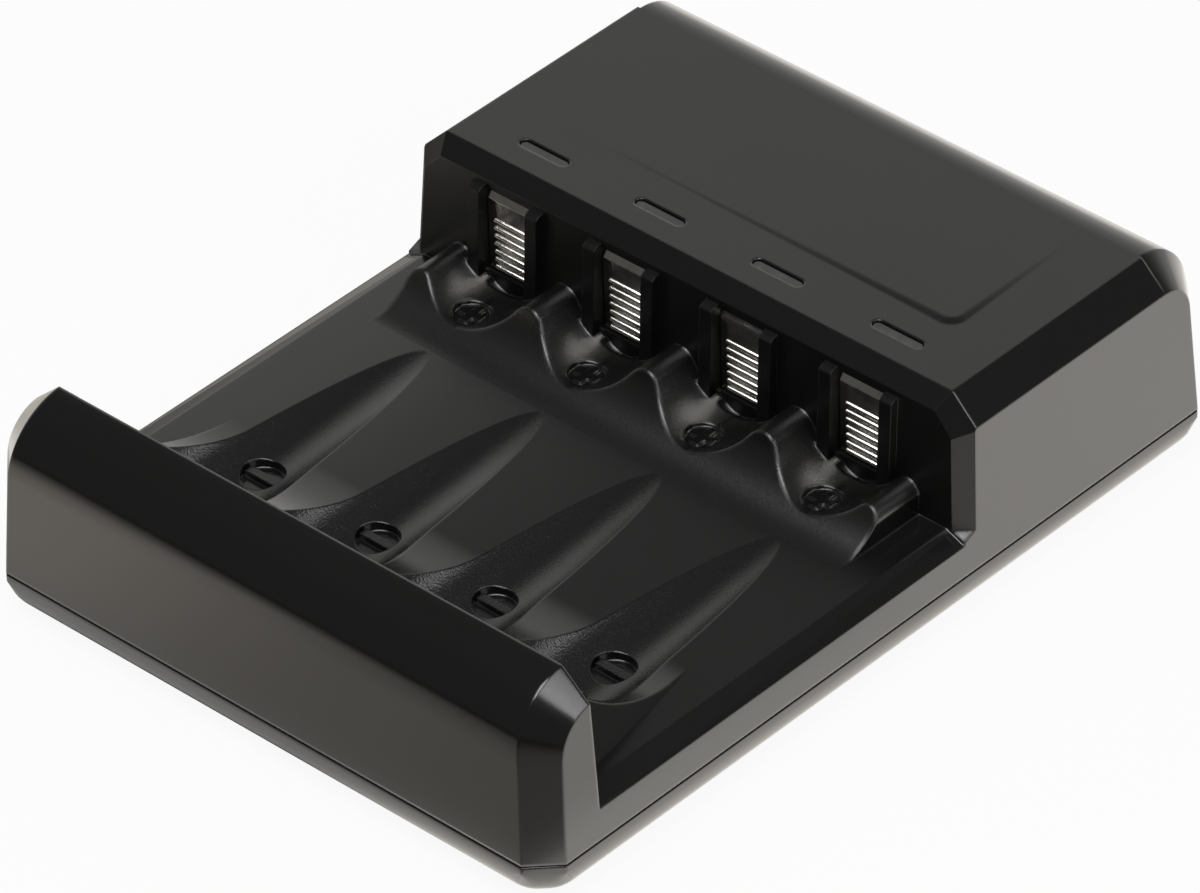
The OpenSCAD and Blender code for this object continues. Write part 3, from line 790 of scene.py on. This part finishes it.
@dataclass
class UpperCase:
    """The upper housing, with a finish and a true normal for each of its regions.

    The lengths are the source's own, in millimetres, from its front edge and
    its parting line.
    """

    paints: Sequence[Paint] = (Paint.WALL, Paint.SATIN, Paint.GRAIN, Paint.NICHE, Paint.MATT)
    # The body
    depth: float = 101.7
    half_w: float = 38.3
    lift: float = 5.6
    top_h: float = 19.7
    draft: float = math.radians(3.0)
    corner: float = 3.1
    crown_r: float = 6.8
    panel: TopPanel = TopPanel()
    # The front wall and the bay
    ridge_r: float = 7.9
    wall_y: float = 8.2
    wall_h: float = 19.5
    bay_len: float = 54.1
    # The deck and its troughs
    deck_h: float = 4.7
    deck_half_w: float = 37.5
    pitch: float = 16.0
    trough_r: float = 7.4
    trough_drop: float = 3.13
    trough_run: float = 41.8
    ramp_r: float = 23.0
    ramp_run: float = 20.8
    # The scoops and their fins
    saddle_y: float = 50.3
    saddle_r: float = 7.0
    scoop_r: float = 7.6
    scoop_z: float = 13.3
    fin_top: float = 10.0
    outer_fin_r: float = 1.5
    # The round marks, the lights and the windows
    minus_r: float = 2.35
    minus_y: float = 25.75
    plus_r: float = 2.0
    plus_y: float = 56.9
    light_y: float = 68.5
    light_ends: float = 2.65
    light_r: float = 0.65
    window_r: float = 3.2
    window_z: float = 8.2
    # Where the windows' niches start, before the face and over the deck, and their depth
    niche_reach: float = 1.4
    niche_foot: float = 1.0
    niche_depth: float = 2.0
    # The ramp's outer flanks, by their normals, and the normal that they get
    flank_x: float = 0.9
    flank_z: Span = (0.25, 0.4)
    flank_normal: Point = (0.8, 0.12, 0.59)
    # The upward parts of normals: level ones, and those on the top, on the panel's
    # edge, on the saddle and on the deck
    up_level: float = 0.9995
    up_top: float = 0.9
    up_panel: float = 0.85
    up_saddle: Span = (0.1, 0.999)
    up_deck: float = 0.05
    # How near a corner lies to a round surface, and how alike their normals are
    near: float = 0.03
    alike: float = 0.9
    top_near: float = 0.1
    trough_near: float = 0.06

    @property
    def slots(self) -> list[float]:
        """The slots' middles."""
        return [(i - (SLOTS - 1) / 2) * self.pitch for i in range(SLOTS)]

    @property
    def face_y(self) -> float:
        """The rear housing's face."""
        return self.wall_y + self.bay_len

    @property
    def tip_y(self) -> float:
        """The troughs' tips."""
        return self.wall_y + self.trough_run

    @property
    def trough_fall(self) -> float:
        """The troughs' fall towards the front wall."""
        return self.trough_drop / self.trough_run

    def build(self) -> None:
        """Dresses the upper housing."""
        form = copy_of("upper_housing")
        form.normal_update()
        for face in form.faces:
            face.material_index = self.paints.index(self.region(face))
        thing = Piece(
            "upper_case", form, self.paints, "black_abs", "upper_housing", even=False
        ).place()
        thing.data.normals_split_custom_set(self.normals(thing.data))

    def region(self, face: bmesh.types.BMFace) -> Paint:
        """The finish that a face takes.

        Args:
            face: A face of the housing.

        Returns:
            One of the housing's finishes.
        """
        middle, up = self._from_front(face.calc_center_median()), face.normal.z
        if up > self.up_top and middle.z > self.top_h - self.top_near:
            return Paint.SATIN
        in_bay = self.wall_y < middle.y < self.face_y + self.niche_depth
        if not in_bay or abs(middle.x) > self.deck_half_w:
            return Paint.WALL
        at_face = middle.y > self.face_y - self.niche_reach
        if at_face and middle.z > self.deck_h + self.niche_foot:
            return Paint.NICHE
        if self._in_trough(middle):
            return Paint.GRAIN
        if middle.y > self.saddle_y and self.up_saddle[0] < up < self.up_saddle[1]:
            return Paint.MATT
        return Paint.SATIN if up > self.up_deck else Paint.WALL

    def rounds(self) -> list[Round]:
        """The housing's round surfaces, in the source's own millimetres."""
        return self._crossing_rounds() + self._slot_rounds() + self._fin_rounds()

    def normals(self, mesh: bpy.types.Mesh) -> list[Vector]:
        """True normals: round surfaces stay round, and flat ones flat.

        Args:
            mesh: The housing's mesh.

        Returns:
            A normal for each corner of each face.
        """
        rounds = self.rounds()
        found: list[Vector] = []
        for face in mesh.polygons:
            corners = [self._from_front(mesh.vertices[v].co) for v in face.vertices]
            found += self._of_face(face.normal, corners, rounds)
        return found

    def _from_front(self, point: Vector) -> Vector:
        """A point in the source's own millimetres."""
        return Vector((point.x / MM, point.y / MM + self.depth / 2, point.z / MM - self.lift))

    def _in_trough(self, point: Vector) -> bool:
        """Whether a point lies on the wall of one of the troughs.

        Args:
            point: The point.

        Returns:
            True for a point on a trough's wall.
        """
        if point.y > self.tip_y:
            return False
        slot = min(self.slots, key=lambda x: abs(x - point.x))
        axis_z = self.deck_h + self.trough_r - (self.tip_y - point.y) * self.trough_fall
        return math.hypot(point.x - slot, point.z - axis_z) < self.trough_r + self.trough_near

    def _crossing_rounds(self) -> list[Round]:
        """The round surfaces that run across the housing, and the cones at their ends."""
        across = Vector((1, 0, 0))
        ramp_end = Vector((0, self.wall_y + self.ramp_run, self.deck_h + self.ramp_r))
        saddle_end = Vector((0, self.saddle_y, self.deck_h + self.saddle_r))
        found = [Round(ramp_end, across, self.ramp_r), Round(saddle_end, across, self.saddle_r)]
        lean = math.tan(self.draft)
        ridge_z = self.wall_h - self.ridge_r
        ridge_y = (self.ridge_r + ridge_z * math.sin(self.draft)) / math.cos(self.draft)
        rear_z = self.top_h - self.crown_r
        rear_in = (self.crown_r + rear_z * math.sin(self.draft)) / math.cos(self.draft)
        rear_y = self.depth - rear_in
        for y, z, radius in ((ridge_y, ridge_z, self.ridge_r), (rear_y, rear_z, self.crown_r)):
            found.append(Round(Vector((0, y, z)), across, radius))
            for side in (-1, 1):
                axis = Vector((-side, 0, -lean)).normalized()
                end = Vector((side * (self.half_w - lean * z), y, z))
                found.append(Round(end, axis, radius - self.corner, 1.0))
        return found

    def _slot_rounds(self) -> list[Round]:
        """The round surfaces that each slot has."""
        along, up = Vector((0, 1, 0)), Vector((0, 0, 1))
        tilt = Vector((0, 1, self.trough_fall)).normalized()
        trough_z = self.deck_h + self.trough_r / tilt.y
        found: list[Round] = []
        for x in self.slots:
            found += [
                Round(Vector((x, self.tip_y, trough_z)), tilt, self.trough_r),
                Round(Vector((x, 0, self.scoop_z)), along, self.scoop_r),
                Round(Vector((x, 0, self.window_z)), along, self.window_r),
                Round(Vector((x, self.minus_y, 0)), up, self.minus_r),
                Round(Vector((x, self.plus_y, 0)), up, self.plus_r),
            ]
            for side in (-1, 1):
                end = Vector((x + side * self.light_ends, self.light_y, 0))
                found.append(Round(end, up, self.light_r))
        return found

    def _fin_rounds(self) -> list[Round]:
        """The rounded tops of the fins between the scoops and beside them."""
        along = Vector((0, 1, 0))
        gap = self.scoop_z - self.fin_top
        fin_r = ((self.pitch / 2) ** 2 + gap**2 - self.scoop_r**2) / (2 * (self.scoop_r - gap))
        last = self.slots[-1]
        found = [
            Round(Vector((x + self.pitch / 2, 0, self.fin_top - fin_r)), along, fin_r)
            for x in self.slots[:-1]
        ]
        edge_x = last + self.pitch / 2 - self.outer_fin_r
        reach = self.scoop_r + self.outer_fin_r
        edge_z = self.scoop_z - math.sqrt(reach**2 - (edge_x - last) ** 2)
        for side in (-1, 1):
            found.append(Round(Vector((side * edge_x, 0, edge_z)), along, self.outer_fin_r))
        return found

    def _of_face(self, flat: Vector, corners: list[Vector], rounds: list[Round]) -> list[Vector]:
        """The normals of one face. The sinking panel's top counts as level.

        Args:
            flat: The face's own normal.
            corners: The face's corners, in the source's own millimetres.
            rounds: The housing's round surfaces.

        Returns:
            A normal for each corner.
        """
        if self.up_panel < flat.z < self.up_level and all(map(self.panel.holds, corners)):
            return [self.panel.normal(corner) for corner in corners]
        if abs(flat.x) > self.flank_x and self.flank_z[0] < flat.z < self.flank_z[1]:
            out, back, up = self.flank_normal
            return [Vector((math.copysign(out, flat.x), back, up)).normalized()] * len(corners)
        for surface in rounds:
            if surface.meet(corners[0])[0] > self.near:
                continue
            met = [surface.meet(corner) for corner in corners]
            if all(off < self.near and abs(to.dot(flat)) > self.alike for off, to in met):
                return [to * math.copysign(1.0, to.dot(flat)) for _, to in met]
        own = Vector((0.0, 0.0, 1.0)) if flat.z > self.up_level else flat.copy()
        return [own] * len(corners)


@dataclass(frozen=True)
class Dressed:
    """A solid that is right as it is, and only takes a finish.

    Attributes:
        node: The solid's name, without its slot's number.
        paint: Its finish.
        slot: The record's slot for its finish.
        bevel: Width of its eased edges, in millimetres.
        mover: The name of the body that moves it, without a number, where the case doesn't.
    """

    node: str
    paint: Paint
    slot: str
    bevel: float = 0.0
    mover: str = ""

    def build(self, number: int | None = None) -> None:
        """Dresses the solid.

        Args:
            number: The slot's number, where each slot has its own.
        """
        mark = f"_{number}" if number else ""
        node = self.node + mark
        body = self.mover + mark if self.mover else "case"
        Piece(
            f"{node}_dressed",
            copy_of(node),
            (self.paint,),
            self.slot,
            node,
            body=body,
            bevel=self.bevel * MM,
        ).place()


@dataclass
class Fittings:
    """Everything but the upper housing, inside it and under it."""

    single: Sequence[Dressed] = (
        Dressed("lower_housing", Paint.GLOSS, "black_abs_lower", 0.15),
        Dressed("main_board", Paint.MASK, "board"),
        Dressed("inlet_shell", Paint.NICKEL, "nickel", 0.08),
        Dressed("inlet_tongue", Paint.EPOXY, "black_insert"),
        Dressed("charge_controller", Paint.EPOXY, "chip"),
        Dressed("power_inductor", Paint.EPOXY, "ferrite", 0.1),
        Dressed("input_capacitors", Paint.CAN, "can", 0.1),
        Dressed("charge_transistors", Paint.EPOXY, "chip"),
        Dressed("case_screws", Paint.ZINC, "screw_steel"),
        Dressed("board_screws", Paint.ZINC, "screw_steel"),
    )
    numbered: Sequence[Dressed] = (
        Dressed("foot", Paint.RUBBER, "foot_rubber", 0.2),
        Dressed("led", Paint.LENS, "led_body"),
        Dressed("light_guide", Paint.GUIDE, "light_guide", 0.1),
        Dressed("positive_contact", Paint.CONTACT, "nickel"),
        Dressed("negative_spring", Paint.NICKEL, "nickel", mover="spring"),
    )

    def build(self) -> None:
        """Dresses each of the solids."""
        for solid in self.single:
            solid.build()
        for number in range(1, SLOTS + 1):
            for solid in self.numbered:
                solid.build(number)


# Studio


@dataclass(frozen=True)
class View:
    """The photograph's camera.

    Attributes:
        target: The point that the camera was solved on, in millimetres.
        azimuth: Turn about Z, from -Y towards +X, in degrees.
        elevation: Height above the horizon, in degrees.
        roll: Turn about the view line, in degrees.
        distance: Distance from the target.
        offset: The target's place across and up the view, as seen.
        lens: Focal length in millimetres.
        sensor: Width of the sensor in millimetres.
        reach: How far the camera sees.
    """

    target: Point = (0.0, -0.85, 15.6)
    azimuth: float = 43.40
    elevation: float = 37.375
    roll: float = -1.751
    distance: float = 944.6 * MM
    offset: tuple[float, float] = (-0.19 * MM, 4.45 * MM)
    lens: float = 281.22
    sensor: float = 36.0
    reach: float = 10.0

    def build(self) -> None:
        """Makes the camera and sets the scene to it."""
        az, el = math.radians(self.azimuth), math.radians(self.elevation)
        back = Vector((math.sin(az) * math.cos(el), -math.cos(az) * math.cos(el), math.sin(el)))
        level = Vector((math.cos(az), math.sin(az), 0.0))
        right = Matrix.Rotation(math.radians(self.roll), 3, back) @ level
        up = back.cross(right)
        camera = bpy.data.objects.new("camera", bpy.data.cameras.new("camera"))
        camera.data.lens = self.lens
        camera.data.sensor_width = self.sensor
        camera.data.clip_end = self.reach
        place = Vector(self.target) * MM + back * self.distance
        place = place - right * self.offset[0] - up * self.offset[1]
        turn = Matrix((right, up, back)).transposed().to_4x4()
        camera.matrix_world = Matrix.Translation(place) @ turn
        bpy.context.scene.collection.objects.link(camera)
        bpy.context.scene.camera = camera


@dataclass(frozen=True)
class SoftBox:
    """A rectangular lamp.

    Attributes:
        name: The lamp's name.
        place: Where it stands.
        size: Its width and height.
        watts: Its power.
    """

    name: str
    place: Point
    size: tuple[float, float]
    watts: float

    def build(self) -> None:
        """Makes the lamp, aimed at the object."""
        data = bpy.data.lights.new(self.name, "AREA")
        data.shape = "RECTANGLE"
        data.size, data.size_y = self.size
        data.energy = self.watts
        lamp = bpy.data.objects.new(self.name, data)
        lamp.location = self.place
        lamp.rotation_euler = (-Vector(self.place)).to_track_quat("-Z", "Y").to_euler()
        bpy.context.scene.collection.objects.link(lamp)


@dataclass(frozen=True)
class Table:
    """The white table, and what the part's glossy surfaces see of it: painted light and painted
    shadow that only reflections show.

    Each span gives the places where a change starts and is complete, in metres
    from the part's middle, X across and Y along it. A step has its share third.

    Attributes:
        half_w: Half the table's width.
        colour: Its colour.
        painted_glow: The colour of the painted light that glossy surfaces see on it.
        white: The share of the camera's view that is plain white, without the shadow.
        beside: From the table ahead of the part to that beside it.
        right: The painted light on the table to the right.
        right_share: How bright that painted light is.
        right_end: Where it gets dimmer, far to the right.
        right_front: The same towards the front.
        right_loss: How much dimmer it gets there.
        left: The painted light on the table to the left.
        left_front: The same towards the front.
        behind: The painted light on the table behind the part.
        corner: The dim patch of painted light at the left.
        corner_rear: The same towards the rear.
        corner_share: How bright that painted light is.
        painted_shadow: The table that the front wall hides from the deck, over the diagonal,
            painted darker as a shadow for glossy rays.
        painted_shadow_left: The same towards the left.
        painted_shadow_rear: The same towards the rear.
        painted_shadow_share: How much darker the painted shadow is there.
        painted_ahead_across: How bright the painted light on the table ahead is, across it.
        painted_ahead_least: How bright that painted light is at least.
        painted_ahead_along: How it gets dimmer towards the front.
        foot: The table close to the part's front, which glossy rays see lit with the painted
            light added.
    """

    half_w: float = 2.0
    colour: Rgb = (0.9, 0.9, 0.89)
    painted_glow: Rgb = (1.0, 0.93, 0.84)
    white: float = 0.93
    beside: Span = (-0.062, -0.048)
    right: Span = (0.0, 0.03)
    right_share: float = 0.95
    right_end: Span = (0.045, 0.052)
    right_front: Span = (0.016, 0.006)
    right_loss: float = 0.4
    left: Span = (-0.055, -0.065)
    left_front: Span = (0.0, -0.02)
    behind: Span = (0.06, 0.12)
    corner: Span = (-0.045, -0.05)
    corner_rear: Span = (0.02, 0.026)
    corner_share: float = 0.2
    painted_shadow: Span = (-0.01, -0.04)
    painted_shadow_left: Span = (-0.04, -0.05)
    painted_shadow_rear: Span = (-0.045, -0.025)
    painted_shadow_share: float = 0.9
    painted_ahead_across: Sequence[Step] = ((0.05, 0.02, 0.18), (0.02, -0.01, 0.08), (-0.005, -0.05, 0.42))
    painted_ahead_least: float = 0.3
    painted_ahead_along: Sequence[Step] = ((-0.16, -0.06, 0.6), (-0.35, -0.1, 0.4))
    foot: Span = (-0.0568, -0.0545)

    def build(self) -> None:
        """Lays the table."""
        form = bmesh.new()
        bmesh.ops.create_grid(form, x_segments=8, y_segments=8, size=self.half_w)
        mesh = bpy.data.meshes.new("table")
        form.to_mesh(mesh)
        form.free()
        mesh.materials.append(self.material())
        table = bpy.data.objects.new("table", mesh)
        bpy.context.scene.collection.objects.link(table)

    def material(self) -> bpy.types.Material:
        """Makes the table's material.

        Returns:
            The material, white to the camera, with painted light and painted shadow for the
            part's reflections.
        """
        shader = Shader.of_material("table_white")
        seen = shader.node("ShaderNodeLightPath", output="Is Camera Ray")
        shine = shader.node("ShaderNodeLightPath", output="Is Glossy Ray")
        across, along = shader.point("X"), shader.point("Y")
        matte = shader.node("ShaderNodeBsdfDiffuse", {}, {"Color": (*self.colour, 1.0)})
        unlit = shader.node("ShaderNodeEmission", {}, {"Strength": 0.0})
        # plain is the painted light: an emission on the table that glossy rays see where no lamp
        # shines
        plain = shader.node("ShaderNodeEmission", {}, {"Color": (*self.painted_glow, 1.0)})
        white = shader.node("ShaderNodeEmission", {}, {"Color": (1.0, 1.0, 1.0, 1.0)})
        beside = along.ramp(*self.beside)
        # Painted shadow: glossy rays see the table darker where the front wall hides it from the
        # deck
        painted_shadow = self._painted_shadow(across, along) * shine * self.painted_shadow_share
        shaded = shader.surfaces(painted_shadow, matte, unlit)
        # Painted light beside and behind the part, seen only by glossy rays
        painted_glow = shader.surfaces(shine * beside * self._painted_light(across, along), unlit, plain)
        around = shader.node("ShaderNodeAddShader", {}, {0: shaded, 1: painted_glow})
        # Painted light on the table ahead, dimmer towards the front, seen only by glossy rays
        level = across.steps(self.painted_ahead_across) + self.painted_ahead_least
        painted_ahead = shader.surfaces(level * along.steps(self.painted_ahead_along), unlit, plain)
        # close: the matte table with the painted light added, near the part's front
        close = shader.node("ShaderNodeAddShader", {}, {0: matte, 1: plain})
        ahead = shader.surfaces(along.ramp(*self.foot), painted_ahead, close)
        lit = shader.surfaces(shine * (1.0 - beside), around, ahead)
        mixed = shader.surfaces(seen * self.white, lit, white)
        shader.node("ShaderNodeOutputMaterial", {}, {"Surface": mixed})
        return shader.owner

    def _painted_light(self, across: Signal, along: Signal) -> Signal:
        """The painted light on the table beside and behind the part, seen only in glossy
        reflections.

        Args:
            across: The place across the table.
            along: The place along it.

        Returns:
            The painted light's strength, from 0 to 1.
        """
        loss = across.ramp(*self.right_end) * along.ramp(*self.right_front) * self.right_loss
        right = across.ramp(*self.right) * self.right_share - loss
        left = across.ramp(*self.left) * along.ramp(*self.left_front)
        corner = across.ramp(*self.corner) * along.ramp(*self.corner_rear) * self.corner_share
        return right.greatest(along.ramp(*self.behind)).greatest(left + corner)

    def _painted_shadow(self, across: Signal, along: Signal) -> Signal:
        """Where the front wall hides the table from the deck, which gets a painted shadow there.

        Args:
            across: The place across the table.
            along: The place along it.

        Returns:
            1 where it gets the painted shadow, and 0 where it doesn't.
        """
        painted_shadow = (across + along).ramp(*self.painted_shadow) * across.ramp(*self.painted_shadow_left)
        return painted_shadow * along.ramp(*self.painted_shadow_rear)


@dataclass(frozen=True)
class Room:
    """The dim room with its backdrop, and the white behind the table.

    Each span gives the parts of a direction where a change starts and is complete.

    Attributes:
        colour: The colour of its light.
        dim: How bright the room is.
        away: The direction of the backdrop, away from the camera.
        away_span: How near that direction the backdrop starts.
        away_top: The heights between which it ends.
        away_share: How bright it is.
        rear: The direction of the lower light, straight behind the part.
        rear_span: How near that direction it starts.
        rear_top: The heights between which it ends.
        rear_share: How bright it is.
    """

    colour: Rgb = (1.0, 0.99, 0.97)
    dim: float = 0.08
    away: Point = (-0.687, 0.727, 0.0)
    away_span: Span = (0.1, 0.6)
    away_top: Span = (0.600, 0.68)
    away_share: float = 0.5
    rear: Point = (-0.2, 0.98, 0.0)
    rear_span: Span = (0.6, 0.92)
    rear_top: Span = (0.0, 0.5)
    rear_share: float = 0.4

    def build(self) -> None:
        """Makes the world's light."""
        world = bpy.data.worlds.new("room")
        bpy.context.scene.world = world
        shader = Shader(world)
        behind = self._toward(shader, self.away).ramp(*self.away_span)
        rear = self._toward(shader, self.rear).ramp(*self.rear_span)
        height = shader.part(shader.node("ShaderNodeTexCoord", output="Generated"), "Z")
        backdrop = behind * (1.0 - height.ramp(*self.away_top)) * self.away_share
        sweep = rear * (1.0 - height.ramp(*self.rear_top)) * self.rear_share
        seen = shader.node("ShaderNodeLightPath", output="Is Camera Ray")
        amount = (backdrop + sweep + self.dim) * (1.0 - seen) + seen
        dark = shader.node("ShaderNodeBackground", {}, {"Strength": 0.0})
        pale = shader.node("ShaderNodeBackground", {}, {"Color": (*self.colour, 1.0)})
        mixed = shader.surfaces(amount, dark, pale)
        shader.node("ShaderNodeOutputWorld", {}, {"Surface": mixed})

    @staticmethod
    def _toward(shader: Shader, direction: Point) -> Signal:
        """How near the view's direction is to another one.

        Args:
            shader: The world's shader.
            direction: The other direction.

        Returns:
            1 where they are the same, and 0 where they are square to each other.
        """
        view = shader.node("ShaderNodeTexCoord", output="Generated")
        return shader.node(
            "ShaderNodeVectorMath",
            {"operation": "DOT_PRODUCT"},
            {0: view, 1: direction},
            output="Value",
        )


@dataclass
class Studio:
    """A white table before a backdrop, a dim room and two soft boxes."""

    boxes: Sequence[SoftBox] = (
        SoftBox("box_above", (0.12, -0.32, 0.94), (0.62, 0.5), 6.0),
        SoftBox("box_right", (0.80, 0.09, 0.57), (0.58, 0.34), 1.8),
    )

    def build(self) -> None:
        """Makes the camera, the lamps, the table and the room."""
        for part in (View(), *self.boxes, Table(), Room()):
            part.build()
        bpy.context.scene.view_settings.view_transform = "Standard"


def main() -> None:
    """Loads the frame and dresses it."""
    logging.basicConfig(level=logging.INFO, format="%(name)s: %(message)s")
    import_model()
    for part in (Studio(), UpperCase(), Fittings()):
        part.build()


if __name__ == "__main__":
    main()
